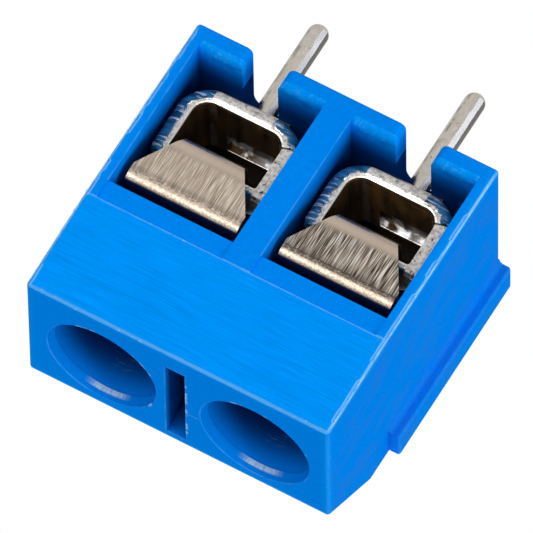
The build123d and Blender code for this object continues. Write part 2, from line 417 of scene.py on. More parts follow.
def tube_wall():
    """Depth into the wall of a lifting cage, seen along Y, from 0 on its outside."""
    name = "Tube Wall"
    if name not in bpy.data.node_groups:
        tree, given, out = shader_group(
            name, [("Low Radius", "NodeSocketFloat", 1.05), ("High Radius", "NodeSocketFloat", 0.62)],
            [("Depth", "NodeSocketFloat"), ("Across", "NodeSocketFloat"), ("Height", "NodeSocketFloat")])
        x, _, z = axes(tree.place())
        across = from_pole(x)
        middle, half = (CAGE_LOW + CAGE_HIGH) / 2, (CAGE_HIGH - CAGE_LOW) / 2
        height = add(z, -middle)
        is_high = calc("GREATER_THAN", height, 0.0)
        spread = minus(given["High Radius"], given["Low Radius"])
        radius = scaled(is_high, spread, given["Low Radius"])
        side = add(add(size(across), -CAGE_HALF), radius)
        rise = add(add(size(height), -half), radius)
        corner = away(most(side, 0.0), most(rise, 0.0))
        edge = add(corner, least(most(side, rise), 0.0))
        put(out["Depth"], minus(radius, edge))
        put(out["Across"], across)
        put(out["Height"], height)
    return bpy.data.node_groups[name]


def from_pole(x):
    """Distance from the middle of the nearer pole, positive towards +X."""
    side = calc("SIGN", x)
    return scaled(side, -POLE_OFFSET, x)


def bare_tree(owner):
    """The emptied node tree of a new material or world."""
    owner.use_nodes = True
    owner.node_tree.nodes.clear()
    return Tree(owner.node_tree)


def new_material(name):
    """A material with only an output and a Principled shader; returns it, its tree and the shader."""
    material = bpy.data.materials.new(name)
    tree = bare_tree(material)
    output = tree.node("ShaderNodeOutputMaterial")
    shader = tree.node("ShaderNodeBsdfPrincipled")
    put(output.inputs["Surface"], shader.outputs[0])
    return material, tree, shader


def bump(shader, height, depth):
    made = beside(height).node("ShaderNodeBump", {"Height": height, "Distance": depth})
    put(shader.inputs["Normal"], made.outputs[0])


def dress(node, material):
    """Give a CAD piece its material."""
    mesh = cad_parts[node].data
    mesh.materials.clear()
    mesh.materials.append(material)


def dress_poles(name, material):
    for pole in POLES:
        dress(f"{name}_{pole}", material)


def placed(name, data):
    """A new object in the scene."""
    item = bpy.data.objects.new(name, data)
    bpy.context.scene.collection.objects.link(item)
    return item


def finished(form, name):
    """Turn a bmesh into a mesh and free it."""
    mesh = bpy.data.meshes.new(name)
    form.to_mesh(mesh)
    form.free()
    return mesh


# Housing

def plastic_material(look):
    """Moulded plastic with a streaked brow, mottled sides, navy recesses, pale scuffed edges and flecks."""
    material, tree, shader = new_material("Moulded Plastic")
    place = tree.place()
    x, y, z = axes(place)
    across = from_pole(x)
    depth = minus(TOP, z)
    grain = grained(tree, look.colour, (9, 9, 9), detail=4.0, contrast=0.12)
    streaks = grained(tree, look.brow_colour, (0.8, 2, 24), detail=3.0, contrast=0.34)
    on_brow = times(ramp(z, BROW - 0.02, BROW + 0.02), ramp(y, -2.18, -2.26))
    colour = blend(on_brow, grain["Colour"], streaks["Colour"])
    mottled = patchy(place, (0.9, 1.4, 0.9), 3.0, 0.40, 0.66)
    on_side = ramp(size(x), SIDE - 0.03, SIDE - 0.01)
    colour = blend(times(mottled, on_side, 0.45), colour, look.mottle_colour)

    # painted shade that darkens the recesses to navy
    in_bay = times(
        ramp(size(across), BAY_HALF + 0.02, BAY_HALF + 0.01), within(z, SILL - 0.02, BAY_TOP + 0.02),
        ramp(y, FRONT + 0.02, -1.0), ramp(y, BAY_BACK + 0.04, BAY_BACK + 0.02))
    from_well = away(across, add(y, -WELL_Y))
    in_well = times(ramp(from_well, WELL_RADIUS + 0.05, WELL_RADIUS + 0.02), ramp(depth, 0.30, 1.60))
    from_core = size(add(x, -CORE_X))
    in_core = times(
        ramp(from_core, CORE_HALF + 0.02, CORE_HALF + 0.01), within(y, CORE_FRONT - 0.01, CORE_BACK + 0.01),
        ramp(depth, -0.3, 1.4))
    recess_shade = most(times(in_bay, 0.88), times(in_well, 0.86), times(in_core, 0.97))
    colour = blend(recess_shade, colour, look.painted_recess_shade)

    # pale edges: mould lines, and painted highlights along the rounded edges
    lean = most(add(z, -BROW), 0.0)
    from_front = scaled(lean, -BROW_LEAN, add(y, -FRONT))
    side = add(size(x), -SIDE)
    crease = away(add(z, -BROW), add(y, -FRONT))
    rim = away(add(from_well, -MOUTH_RADIUS), depth)
    core_end = add(size(add(y, -(CORE_FRONT + CORE_BACK) / 2)), -(CORE_BACK - CORE_FRONT) / 2)
    core_rim = away(most(add(from_core, -CORE_HALF), core_end), depth)
    bay_edge = away(add(across, -BAY_HALF), add(y, -FRONT), most(add(z, -BAY_TOP), minus(SILL, z), 0.0))
    upright = away(side, from_front)
    top_front = away(depth, add(y, -TOP_FRONT))
    rounded = add(least(upright, top_front), -0.05)
    fine = tree.use(
        ragged_line(), Distance=least(crease, rounded), Half_Width=0.050, Raggedness=0.05, Cells=3.0,
        Gaps=0.36)
    faint = tree.use(
        ragged_line(), Distance=least(rim, core_rim, bay_edge), Half_Width=0.050, Raggedness=0.05, Cells=3.0,
        Gaps=0.54)
    jog = add(
        times(patchy(place, (0.1, 0.1, 0.9), 0.0, 0.48, 0.52), 0.060),
        times(noise(place, (0.2, 0.2, 1.6), 1.0), 0.045))
    flash = tree.use(
        ragged_line(), Distance=add(add(size(x), jog), 0.035 - SIDE), Half_Width=0.042, Raggedness=0.02,
        Cells=6.0, Gaps=0.40)
    flash_line = times(flash["Mask"], ramp(from_front, 0.03, 0.02), ramp(z, 0.15, 0.35), 0.62)
    top_edges = least(top_front, away(depth, add(y, -TOP_BACK)), away(depth, side))
    from_rib = add(x, -TONGUE_X)
    tongue = least(
        away(from_rib, add(y, -TONGUE_FRONT)), away(from_rib, add(z, -TONGUE_TOP)),
        away(from_rib, add(y, -TONGUE_BACK)))
    soft = least(top_edges, add(upright, 0.03), add(tongue, 0.03))
    broad = tree.use(ragged_line(), Distance=soft, Half_Width=0.14, Raggedness=0.12, Cells=2.5, Gaps=0.35)
    # painted highlight in a soft band along the rounded outer edges
    glow = ramp(least(upright, top_edges), 0.34, 0.04)
    colour = blend(times(glow, 0.45), colour, look.edge_highlight_colour)
    # pale lines: partly mould lines and flash, partly painted highlights on rounded edges and well lips
    lines = most(fine["Mask"], times(broad["Mask"], 0.18), times(faint["Mask"], 0.45))
    colour = blend(lines, colour, look.mould_line_and_highlight_colour)
    knit_side = within(x, CORE_X - CORE_HALF - 0.42, CORE_X - CORE_HALF, 0.02)
    knit = tree.use(
        ragged_line(), Distance=add(y, -0.62), Half_Width=0.035, Raggedness=0.10, Cells=2.0, Gaps=0.0)["Mask"]
    colour = blend(times(knit, knit_side, ramp(depth, 0.02, 0.01), 0.6), colour, look.mould_line_and_highlight_colour)

    # torn flecks round the wells and the slot, and a mottled painted highlight on the rounded inner edges of
    # the sills
    beyond = ramp(from_well, MOUTH_RADIUS + 0.15, MOUTH_RADIUS + 0.12)
    rim_side = most(
        times(ramp(minus(times(across, -1.0), y), -0.3, 0.5), beyond),
        times(ramp(add(x, -CORE_X), -0.10, -0.25), inverse(beyond)))
    torn = tree.use(
        ragged_line(), Distance=least(rim, core_rim), Half_Width=0.10, Raggedness=0.10, Cells=6.0,
        Gaps=0.0)["Mask"]
    torn = times(torn, patchy(place, (3.2, 3.2, 3.2), 3.0, 0.545, 0.60), rim_side)
    edge_flecks = most(fine["Flecks"], times(broad["Flecks"], 0.35), torn, flash_line)
    in_opening = ramp(size(across), BAY_HALF + 0.01, BAY_HALF - 0.02)
    sill = times(within(z, 0.50, SILL + 0.03, 0.06), in_opening)
    near_edge = within(y, FRONT, FRONT + 0.30, 0.45)
    blotches = patchy(place, (4.5, 3.5, 4.5), 4.0, 0.36, 0.66)
    colour = blend(times(sill, near_edge, scaled(blotches, 0.60, 0.38)), colour, look.edge_highlight_colour)
    spots = patchy(place, (13, 10, 13), 3.0, 0.50, 0.70)
    sill_highlight_spots = times(sill, within(y, FRONT + 0.02, FRONT + 0.30, 0.15), spots, blotches, 0.30)
    colour = blend(times(sill_highlight_spots, 1.6), colour, look.mould_line_and_highlight_colour)
    colour = blend(edge_flecks, colour, look.fleck_colour)

    # painted highlight on the narrowing mouths of the wells
    turn = calc("ARCTAN2", across, add(y, -WELL_Y))
    mouth = times(
        ramp(from_well, WELL_RADIUS - 0.05, WELL_RADIUS - 0.02), within(depth, 0.19, 0.31, 0.04),
        ramp(from_well, MOUTH_RADIUS + 0.02, MOUTH_RADIUS))
    rolled_out = joined(turn, depth)
    comb = patchy(rolled_out, (30, 3, 1), 2.0, 0.35, 0.60, 0.55, 1.0)
    arcs = patchy(rolled_out, (1.5, 16, 1), 2.0, 0.30, 0.55, 0.35, 1.0)
    lit = times(mouth, within(turn, -0.22, 0.14, 0.30), comb, arcs)
    colour = blend(times(lit, 0.90), colour, WELL_SHINE)
    # painted shade along the step inside each well's mouth
    step = times(
        within(depth, 0.335, 0.375, 0.02), ramp(from_well, MOUTH_RADIUS, WELL_RADIUS + 0.03),
        ramp(from_well, WELL_RADIUS - 0.05, WELL_RADIUS - 0.02))
    colour = blend(times(step, 0.16), colour, look.painted_recess_shade)
    # lighter streaked patches on the far wall deep in each well
    deep_streaks = times(
        patchy(rolled_out, (5, 20, 1), 3.0, 0.55, 0.66), within(turn, -0.16, 0.10, 0.14),
        within(depth, 1.10, 1.45, 0.14), ramp(from_well, WELL_RADIUS + 0.05, WELL_RADIUS + 0.02))
    colour = blend(times(deep_streaks, 0.75), colour, WELL_DEEP_STREAK)

    put(shader.inputs["Base Color"], colour)
    put(shader.inputs["Roughness"], scaled(grain["Value"], 0.16, look.roughness - 0.08))
    shader.inputs["Specular IOR Level"].default_value = 0.0
    shader.inputs["Coat Roughness"].default_value = 0.16
    put(shader.inputs["Coat Weight"], most(times(sill_highlight_spots, 0.2), times(broad["Mask"], 0.03)))
    height = tree.node(
        "ShaderNodeMix", {0: on_brow, 2: grain["Value"], 3: streaks["Value"]}, data_type="FLOAT").outputs[0]
    bump(shader, height, look.grain_depth)
    return material


def grower(name, inputs):
    """A geometry node group with named inputs; returns its tree, its input sockets and their identifiers."""
    group = bpy.data.node_groups.new(name, "GeometryNodeTree")
    group.is_modifier = True
    group.interface.new_socket("Geometry", in_out="OUTPUT", socket_type="NodeSocketGeometry")
    identifiers = {}
    for socket_name, kind, value in (*inputs, ("Material", "NodeSocketMaterial", None)):
        socket = group.interface.new_socket(socket_name, in_out="INPUT", socket_type=kind)
        if value is not None:
            socket.default_value = value
        identifiers[socket_name] = socket.identifier
    return Tree(group), group.nodes.new("NodeGroupInput").outputs, identifiers


def end_grower(tree, geometry, material):
    """End a geometry node tree with plain geometry in one material."""
    plain = tree.node("GeometryNodeRealizeInstances", {"Geometry": geometry})
    done = tree.node("GeometryNodeSetMaterial", {"Geometry": plain.outputs[0], "Material": material})
    put(tree.tree.nodes.new("NodeGroupOutput").inputs[0], done.outputs[0])


def mould_line_tree():
    """Geometry nodes: a thin uneven ridge swept along a line, left by the mould along an edge."""
    tree, given, identifiers = grower(
        "Mould Line",
        [
            ("Start", "NodeSocketVector", (0, 0, 0)), ("End", "NodeSocketVector", (0.01, 0, 0)),
            ("Width", "NodeSocketFloat", 0.03 * MM), ("Wander", "NodeSocketFloat", 0.05 * MM),
            ("Steps", "NodeSocketInt", 200), ("Seed", "NodeSocketFloat", 1.0)])
    line = tree.node("GeometryNodeCurvePrimitiveLine", {"Start": given["Start"], "End": given["End"]})
    fine = tree.node("GeometryNodeResampleCurve", {"Curve": line.outputs[0], "Count": given["Steps"]})
    position = tree.node("GeometryNodeInputPosition").outputs[0]
    rough = tree.node(
        "ShaderNodeTexNoise", {"Vector": position, "W": given["Seed"], "Scale": 2200.0, "Detail": 3.0},
        noise_dimensions="4D").outputs
    stray = vector("SCALE", vector("SUBTRACT", rough["Color"], (0.5, 0.5, 0.5)), scale=given["Wander"])
    moved = tree.node("GeometryNodeSetPosition", {"Geometry": fine.outputs[0], "Offset": stray})
    share = ramp(rough["Fac"], 0.38, 0.60, 0.15, 1.0)
    profile = tree.node("GeometryNodeCurvePrimitiveCircle", {"Resolution": 6, "Radius": 0.5})
    ridge = tree.node(
        "GeometryNodeCurveToMesh",
        {
            "Curve": moved.outputs[0], "Profile Curve": profile.outputs[0],
            "Scale": times(share, given["Width"]), "Fill Caps": True})
    end_grower(tree, ridge.outputs[0], given["Material"])
    return tree.tree, identifiers


def thread_tree():
    """Geometry nodes: a rounded ridge that climbs round a screw as its thread."""
    tree, given, identifiers = grower(
        "Screw Thread",
        [
            ("Turns", "NodeSocketFloat", 5.0), ("Pitch", "NodeSocketFloat", 0.45 * MM),
            ("Outer Radius", "NodeSocketFloat", 1.25 * MM), ("Ridge Radius", "NodeSocketFloat", 0.15 * MM),
            ("Steps", "NodeSocketInt", 40), ("Place", "NodeSocketVector", (0, 0, 0))])
    middle = minus(given["Outer Radius"], given["Ridge Radius"])
    helix = tree.node(
        "GeometryNodeCurveSpiral",
        {
            "Resolution": given["Steps"], "Rotations": given["Turns"], "Start Radius": middle,
            "End Radius": middle, "Height": times(given["Turns"], given["Pitch"])})
    moved = tree.node("GeometryNodeSetPosition", {"Geometry": helix.outputs[0], "Offset": given["Place"]})
    profile = tree.node(
        "GeometryNodeCurvePrimitiveCircle", {"Resolution": 8, "Radius": given["Ridge Radius"]})
    ridge = tree.node(
        "GeometryNodeCurveToMesh",
        {"Curve": moved.outputs[0], "Profile Curve": profile.outputs[0], "Fill Caps": True})
    end_grower(tree, ridge.outputs[0], given["Material"])
    return tree.tree, identifiers


def grown_mesh(group, identifiers, values):
    """Run a geometry node tree and return its result as a plain mesh."""
    seed = placed("seed", bpy.data.meshes.new("seed"))
    modifier = seed.modifiers.new("Nodes", "NODES")
    modifier.node_group = group
    for key, value in values.items():
        modifier[identifiers[key]] = value
    bpy.context.view_layer.update()
    graph = bpy.context.evaluated_depsgraph_get()
    mesh = bpy.data.meshes.new_from_object(seed.evaluated_get(graph))
    seed.modifiers.clear()
    bpy.data.objects.remove(seed)
    if not mesh.polygons:
        raise RuntimeError(f"{group.name} made no faces")
    return mesh


def new_piece(name, parts, material):
    """One object from several meshes, which are then dropped."""
    form = bmesh.new()
    for part in parts:
        form.from_mesh(part)
        bpy.data.meshes.remove(part)
    mesh = finished(form, name)
    mesh.materials.clear()
    mesh.materials.append(material)
    return placed(name, mesh)


class TERMINAL_OT_housing(bpy.types.Operator):
    """Finish the housing as moulded plastic"""
    bl_idname = "terminal.housing"
    bl_label = "Finish Housing"

    def execute(self, context):
        dress("housing", plastic_material(context.scene.terminal_housing))
        return {"FINISHED"}


class TERMINAL_OT_mould_lines(bpy.types.Operator):
    """Add the thin uneven lines that the mould left along the housing's front edges"""
    bl_idname = "terminal.mould_lines"
    bl_label = "Add Mould Lines"

    def execute(self, context):
        look = context.scene.terminal_housing
        material, tree, shader = new_material("Mould Line Plastic")
        grain = grained(tree, look.fleck_colour, (5, 5, 5), detail=3.0, contrast=0.4)
        put(shader.inputs["Base Color"], grain["Colour"])
        put(shader.inputs["Roughness"], ramp(grain["Value"], 0.3, 0.7, 0.3, 0.5))
        y = FRONT + LINE_INSET
        lines = [((-SIDE + LINE_END, y, BROW + CREASE_RISE), (SIDE - LINE_END, y, BROW + CREASE_RISE))]
        for x in (-SIDE + LINE_INSET, SIDE - LINE_INSET):
            lines.append(((x, y, LINE_LOW), (x, y, BROW)))
            lines.append(((x, y, BROW), (x, y + BROW_LEAN * (LINE_HIGH - BROW), LINE_HIGH)))
        group, identifiers = mould_line_tree()
        meshes = []
        for seed, (start, end) in enumerate(lines):
            values = {
                "Start": [v * MM for v in start], "End": [v * MM for v in end], "Width": look.line_width,
                "Wander": look.line_wander, "Seed": float(seed), "Material": material}
            meshes.append(grown_mesh(group, identifiers, values))
        piece = new_piece("mould_lines", meshes, material)
        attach(piece, "block")
        return {"FINISHED"}


# Plated metal

def strip_material(look):
    """Rolled sheet brushed along Z, smooth by its lower bend, pitted before its upper one, with painted
    highlights and shade.
    """
    material, tree, shader = new_material("Rolled Strip")
    place = tree.place()
    x, y, z = axes(place)
    on_front = ramp(y, GUARD_FRONT + 0.45, GUARD_FRONT + 0.40)
    worn = ramp(x, 1.0, -1.0)                          # the guard at -X is scratched more
    lines = add(times(noise(place, (46, 3, 1.7), 0.0), 0.72), times(noise(place, (27, 3, 1.3), 0.0), 0.28))
    patches = noise(place, (2.5, 2, 1.8), 3.0)
    brushed = times(ramp(z, 3.72, 3.95), ramp(z, 5.06, 4.98), on_front)
    base = grained(tree, look.strip_colour, (6, 6, 5), detail=4.0, contrast=0.14)
    contrast = times(scaled(worn, 2.9, 2.3), ramp(patches, 0.30, 0.62, 0.25, 1.0))
    shade = scaled(add(lines, -0.5), contrast, scaled(worn, -0.36, 1.0))
    shade = most(shade, 0.08)
    ruled = vector("SCALE", base["Colour"], scale=shade)
    bright = times(ramp(lines, 0.57, 0.66), scaled(worn, 0.45, 0.35))
    ruled = blend(bright, ruled, SCRATCH)
    colour = blend(brushed, base["Colour"], ruled)
    # the smooth band by the lower bend, painted lighter as a highlight
    smooth = times(ramp(z, 3.42, 3.58), ramp(z, 3.84, 3.64), on_front)
    colour = blend(times(smooth, 0.55), colour, toned(look.strip_colour, 1.45))
    # pitted line before the upper bend, in a darker band
    pitted = times(within(z, 4.96, 5.10, 0.08), on_front)
    blotch = patchy(place, (10, 9, 26), 5.0, 0.64, 0.38)
    darker_band = times(within(z, 4.93, 5.08, 0.20), on_front, 0.40)
    colour = blend(
        most(times(pitted, scaled(blotch, 0.50, scaled(worn, 0.40, 0.28))), darker_band), colour,
        toned(look.strip_colour, 0.14))
    # painted highlight on the upper bend
    bend_highlight_band = times(within(z, 5.110, 5.285, 0.035), on_front)
    grains = patchy(place, (13, 13, 20), 3.0, 0.42, 0.58)
    colour = blend(
        times(bend_highlight_band, 0.95), colour, blend(grains, toned(look.bend_highlight_colour, 0.62), look.bend_highlight_colour))
    # painted dark reflection on the lip behind the upper bend
    lip = times(ramp(z, 5.27, 5.32), ramp(y, -1.2, -1.4))
    colour = blend(times(lip, 0.96), colour, LIP_SHADE)
    # painted shade on the strip's back part deep in the bay
    web = times(ramp(y, -0.6, -0.2), ramp(z, 1.12, 1.22))
    colour = blend(times(web, 0.90), colour, toned(look.strip_colour, 0.04))
    put(shader.inputs["Base Color"], colour)
    shader.inputs["Metallic"].default_value = 1.0
    put(shader.inputs["Roughness"], add(times(pitted, 0.22), scaled(brushed, 0.08, 0.26)))
    relief = times(lines, brushed, scaled(worn, 0.008, 0.003))
    bump(shader, relief, MM)
    return material


def cage_material(look):
    """Plated cage: rolled edge, torn inner rim with a jagged limit, tarnished inside and a coined bed, with
    painted reflections, highlights and shade.
    """
    material, tree, shader = new_material("Plated Cage")
    place = tree.place()
    x, y, z = axes(place)
    wall = tree.use(tube_wall())
    depth, across, height = wall["Depth"], wall["Across"], wall["Height"]
    body = grained(tree, look.cage_colour, (1.2, 0.8, 5), detail=3.0, contrast=0.10)
    at_rim = ramp(y, CAGE_FRONT + 0.32, CAGE_FRONT + 0.26)
    on_floor = times(ramp(height, -1.00, -1.08), within(across, -0.80, 1.12, 0.03))
    at_minus = times(ramp(across, -1.40, -1.46), ramp(height, -0.72, -0.66))
    on_wall = inverse(most(on_floor, at_minus))

    # scratches and dents across the rolled edge, which tilt it towards the light
    cross = patchy(place, (1.6, 1.2, 9), 3.0, 0.54, 0.62)
    hair = patchy(place, (2.5, 1.5, 17), 3.0, 0.62, 0.68)
    chips = patchy(place, (5, 5, 5), 3.0, 0.60, 0.66)
    colour = blend(times(most(hair, chips), 0.5), body["Colour"], CHIP)
    jag = times(add(noise(place, (4.5, 1, 4.5), 3.0), -0.5), 0.30)
    jagged = add(depth, jag)
    rolled = times(ramp(jagged, 0.36, 0.33), on_wall, at_rim)
    tilt = times(least(depth, 0.34), rolled, scaled(cross, -0.55, 0.60))
    low = ramp(height, -0.50, -0.80)
    tilt = add(tilt, times(least(minus(CAGE_WALL, depth), 0.14), low, at_rim, 0.42))
    # painted blue reflection of the housing on the rolled edge
    reflection_patches = patchy(place, (2.2, 1.5, 4.5), 3.0, 0.35, 0.62)
    edge_reflection = blend(reflection_patches, toned(look.rolled_edge_reflection_colour, 0.55), toned(look.rolled_edge_reflection_colour, 1.5))
    marks = blend(times(most(cross, hair), 0.75), edge_reflection, EDGE_MARK)
    colour = blend(rolled, colour, marks)

    # the torn part: narrow on the walls, the whole rim at -X, all but the inner part on the floor
    torn_wall = times(ramp(jagged, 0.370, 0.385), on_wall)
    torn_floor = times(ramp(jagged, 0.37, 0.34), on_floor)
    torn = times(most(torn_wall, torn_floor, at_minus), at_rim)
    mottle = noise(place, (8, 6, 8), 4.0)
    pits = times(patchy(place, (5, 4, 5), 4.0, 0.385, 0.33), most(at_minus, 0.5))
    shear = blend(ramp(mottle, 0.34, 0.60), toned(look.shear_colour, 0.58), look.shear_colour)
    shear = blend(pits, shear, toned(look.shear_colour, 0.10))
    colour = blend(torn, colour, shear)
    # painted highlight on the floor's inner rim, with thin white lines along the tear and the inner edge
    highlighted = times(ramp(jagged, 0.36, 0.39), ramp(depth, 0.53, 0.50), on_floor, at_rim)
    outline = times(ramp(size(add(jagged, -0.375)), 0.022, 0.0), on_wall, at_rim)
    inner = times(ramp(size(add(depth, -0.50)), 0.035, 0.015), at_rim)
    white = most(highlighted, times(outline, 0.8), times(inner, on_wall, 0.8))
    colour = blend(white, colour, RIM_HIGHLIGHT)

    # inside darkened by tarnish and painted shade, with painted reflections, and a coined bed painted with
    # reflections
    inside = times(ramp(depth, CAGE_WALL - 0.015, CAGE_WALL - 0.003), ramp(y, CAGE_FRONT, CAGE_FRONT + 0.06))
    tarnish_and_shade = grained(tree, look.cage_inside, (4.5, 0.6, 4.5), detail=4.0, contrast=1.8)
    back = ramp(y, CAGE_FRONT + 2.44, CAGE_FRONT + 2.50)
    # painted warm reflection inside, stronger in the cage at -X
    glow = times(
        patchy(place, (0.9, 0.4, 0.9), 2.0, 0.40, 0.62), within(across, -0.9, 0.7, 0.5),
        ramp(x, 1.0, -1.0, 0.35, 1.0))
    tarnish_with_painted_light = blend(times(glow, 0.75), tarnish_and_shade["Colour"], BROWN_REFLECTION)
    # painted sheen streak inside the cage
    sheen = times(within(across, 0.98, 1.08, 0.10), patchy(place, (3, 0.8, 3), 2.0, 0.35, 0.60))
    tarnish_with_painted_light = blend(times(sheen, 0.65), tarnish_with_painted_light, INNER_SHEEN)
    # painted shade at the back of the inside
    tarnish_with_painted_light = blend(times(back, 0.92), tarnish_with_painted_light, CAGE_BACK_SHADE)
    colour = blend(inside, colour, tarnish_with_painted_light)
    # painted warm reflection along the inner front edge
    warm_reflection_line = times(within(y, CAGE_FRONT + 0.04, CAGE_FRONT + 0.12, 0.03), inside)
    colour = blend(times(warm_reflection_line, 0.7), colour, WARM_RIM_REFLECTION)
    # painted reflection on the coined bed, brighter towards -X
    bed = times(
        ramp(z, CAGE_FLOOR - 0.015, CAGE_FLOOR - 0.03), ramp(z, CAGE_LOW + 0.15, CAGE_LOW + 0.2),
        within(y, CAGE_FRONT + 1.47, CAGE_FRONT + 2.43, 0.01),
        ramp(size(across), CAGE_HALF - CAGE_WALL + 0.03, CAGE_HALF - CAGE_WALL))
    glitter = noise(place, (2.6, 1.6, 2.6), 4.0)
    patch = add(ramp(glitter, 0.44, 0.60), ramp(across, 0.6, -1.0, -0.30, 0.45))
    bed_reflection = blend(patch, BED_REFLECTION_DARK, BED_REFLECTION_BRIGHT)
    colour = blend(bed, colour, bed_reflection)

    put(shader.inputs["Base Color"], colour)
    matt = times(most(torn, times(rolled, 0.9)), inverse(most(inside, white)))
    put(shader.inputs["Metallic"], scaled(most(matt, times(bed, 0.55), times(inside, 0.45)), -0.92, 1.0))
    rough = scaled(matt, 0.30, 0.17)
    put(shader.inputs["Roughness"], add(rough, times(inside, 0.10)))
    shader.inputs["Specular IOR Level"].default_value = 0.2
    relief = add(add(tilt, times(mottle, torn, 0.02)), times(glitter, bed, 0.008))
    bump(shader, add(relief, times(pits, torn, -0.03)), MM)
    return material


def pin_material(look):
    """Tinned wire with a painted highlight stripe on its front, a dark drawing line beside it, dark specks,
    painted shade and reflections.
    """
    material, tree, shader = new_material("Tinned Pin")
    place = tree.place()
    x, y, _ = axes(place)
    turn = calc("ARCTAN2", from_pole(x), times(y, -1.0))
    wander = times(add(noise(place, (2, 2, 3.5), 3.0), -0.5), 0.40)
    marks = grained(tree, look.pin_colour, (9, 9, 4), detail=4.0, contrast=0.26)
    tip = ramp(away(from_pole(x), y), PIN_RADIUS - 0.05, PIN_RADIUS - 0.015)
    # painted highlight: a pale stripe down the front of the pin, made less metallic
    stripe = times(within(add(turn, wander), -0.96, -0.42, 0.03), ramp(turn, -1.00, -0.96), tip)
    line = times(within(turn, -1.05, -0.99, 0.03), tip)
    # painted shade towards one side of the pin
    shaded = blend(times(ramp(turn, -0.92, -1.14), tip, 0.90), marks["Colour"], toned(look.pin_colour, 0.24))
    streaky = patchy(place, (5, 5, 1.6), 3.0, 0.36, 0.62, 0.84, 1.0)
    colour = blend(stripe, shaded, vector("SCALE", PIN_HIGHLIGHT, scale=streaky))
    colour = blend(times(line, 0.85), colour, PIN_LINE)
    # dark specks, and dark patches along the other side that paint its dark reflections
    specks = patchy(place, (6, 6, 4), 4.0, 0.64, 0.70)
    edge = times(within(turn, 0.55, 0.95, 0.2), patchy(place, (4, 4, 2), 3.0, 0.45, 0.60))
    spots = times(most(times(specks, 0.6), times(edge, 0.5)), inverse(stripe))
    colour = blend(spots, colour, PIN_SPECK_AND_REFLECTION)
    put(shader.inputs["Base Color"], colour)
    put(shader.inputs["Metallic"], scaled(stripe, -0.70, 1.0))
    put(shader.inputs["Roughness"], ramp(marks["Value"], 0.2, 0.8, 0.20, 0.32))
    bump(shader, add(marks["Value"], times(specks, -0.6)), 0.008 * MM)
    return material


def screw_material(look):
    """Zinc plated steel with turning marks round the screw's axis, darker inside the driver slot."""
    material, tree, shader = new_material("Zinc Screw")
    x, y, z = axes(tree.place())
    radius = away(from_pole(x), add(y, -WELL_Y))
    ring_place = joined(times(radius, 14.0), times(z, 7.0))
    rings = noise(ring_place, (1, 1, 1), 3.0)
    marks = grained(tree, look.screw_colour, (5, 5, 5), detail=4.0, contrast=0.25)
    colour = blend(ramp(rings, 0.40, 0.62), marks["Colour"], toned(look.screw_colour, 1.35))
    in_slot = times(
        ramp(z, HEAD_TOP - 0.02, HEAD_TOP - 0.20), ramp(radius, 1.60, 1.50),
        ramp(z, HEAD_BOTTOM, HEAD_BOTTOM + 0.3))
    colour = blend(times(in_slot, 0.75), colour, toned(look.screw_colour, 0.30))
    put(shader.inputs["Base Color"], colour)
    shader.inputs["Metallic"].default_value = 1.0
    put(shader.inputs["Roughness"], ramp(marks["Value"], 0.2, 0.8, 0.30, 0.46))
    bump(shader, rings, 0.005 * MM)
    return material


def lathe(points, axis_x, axis_y, segments=64):
    """A closed turned form from (radius, height) points that start and end on its upright axis."""
    form = bmesh.new()
    rings = []
    for radius, height in points:
        if radius == 0:
            rings.append([form.verts.new((axis_x * MM, axis_y * MM, height * MM))] * segments)
            continue
        ring = []
        for step in range(segments):
            angle = 2 * math.pi * step / segments
            x, y = axis_x + radius * math.cos(angle), axis_y + radius * math.sin(angle)
            ring.append(form.verts.new((x * MM, y * MM, height * MM)))
        rings.append(ring)
    for low, high in zip(rings, rings[1:]):
        for step in range(segments):
            after = (step + 1) % segments
            form.faces.new(dict.fromkeys((low[step], low[after], high[after], high[step])))
    bmesh.ops.recalc_face_normals(form, faces=form.faces)
    return finished(form, "turned")


def copy_above(node, level):
    """The part of a CAD piece above a level, closed where it was cut."""
    form = bmesh.new()
    form.from_mesh(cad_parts[node].data)
    bmesh.ops.remove_doubles(form, verts=form.verts, dist=0.0005 * MM)
    everything = form.verts[:] + form.edges[:] + form.faces[:]
    bmesh.ops.bisect_plane(
        form, geom=everything, plane_co=(0, 0, level * MM), plane_no=(0, 0, 1), clear_inner=True)
    bmesh.ops.holes_fill(form, edges=[edge for edge in form.edges if edge.is_boundary])
    bmesh.ops.recalc_face_normals(form, faces=form.faces)
    return finished(form, "copied")


class TERMINAL_OT_strips(bpy.types.Operator):
    """Finish the contact strips as rolled, plated sheet"""
    bl_idname = "terminal.strips"
    bl_label = "Finish Contact Strips"

    def execute(self, context):
        dress_poles("contact_strip", strip_material(context.scene.terminal_metal))
        return {"FINISHED"}


class TERMINAL_OT_cages(bpy.types.Operator):
    """Finish the lifting cages with their torn rims"""
    bl_idname = "terminal.cages"
    bl_label = "Finish Lifting Cages"

    def execute(self, context):
        dress_poles("lift_cage", cage_material(context.scene.terminal_metal))
        return {"FINISHED"}


class TERMINAL_OT_pins(bpy.types.Operator):
    """Finish the solder pins"""
    bl_idname = "terminal.pins"
    bl_label = "Finish Solder Pins"

    def execute(self, context):
        dress_poles("solder_pin", pin_material(context.scene.terminal_metal))
        return {"FINISHED"}


